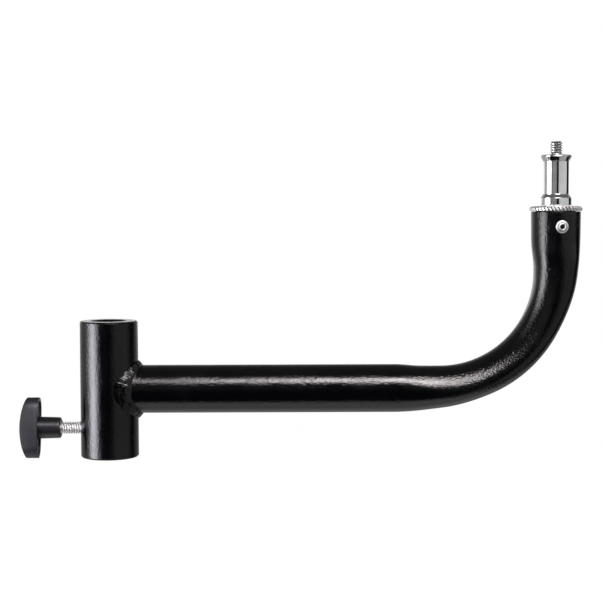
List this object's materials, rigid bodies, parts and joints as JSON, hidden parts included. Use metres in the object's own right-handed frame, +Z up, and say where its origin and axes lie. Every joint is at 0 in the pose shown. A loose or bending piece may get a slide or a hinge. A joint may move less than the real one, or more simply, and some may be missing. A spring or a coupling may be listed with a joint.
{
  "type": "offset extension arm",
  "caption": "Bent black steel tube that carries a chrome stud to the side of a stand, welded to a thick receiver socket with a plastic wing screw.",
  "frame": {"origin": "centre of the socket at the receiver's lower face, on the axis of the stand's stud", "axes": "+Z up along the stand's stud, +X along the arm towards its own stud"},
  "size_m": [0.2921, 0.03, 0.1638],
  "materials": {
    "black_paint": "gloss black with a fine orange-peel texture",
    "bright_zinc": "bright zinc plate",
    "chrome": "turned and chrome plated",
    "rivet_aluminium": "bright",
    "stem_steel": "dull broken end",
    "screw_zinc": "bright zinc plate",
    "knob_plastic": "matte moulded",
    "pad_brass": "turned"
  },
  "bodies": {
    "arm": {"receiver": "black_paint", "arm_tube": "black_paint", "weld_bead": "black_paint", "end_plug": "bright_zinc", "spigot": "chrome", "rivet_body": "rivet_aluminium", "rivet_mandrel": "stem_steel"},
    "screw_carriage": {"pressure_pad": "pad_brass"},
    "clamp": {"clamp_screw": "screw_zinc", "clamp_knob": "knob_plastic"}
  },
  "joints": [
    {"name": "screw_travel", "type": "slide", "parent": "arm", "child": "screw_carriage", "axis": [1, 0, 0], "range_m": [-0.00382, 0.00954]},
    {"name": "screw_turn", "type": "hinge", "parent": "screw_carriage", "child": "clamp", "pos_m": [-0.015, 0, 0.0151], "axis": [1, 0, 0], "range_deg": [-1080, 2700]}
  ],
  "couplings": [
    {"joint": "screw_travel", "follows": "screw_turn", "m_per_rad": 0.00020213}
  ]
}
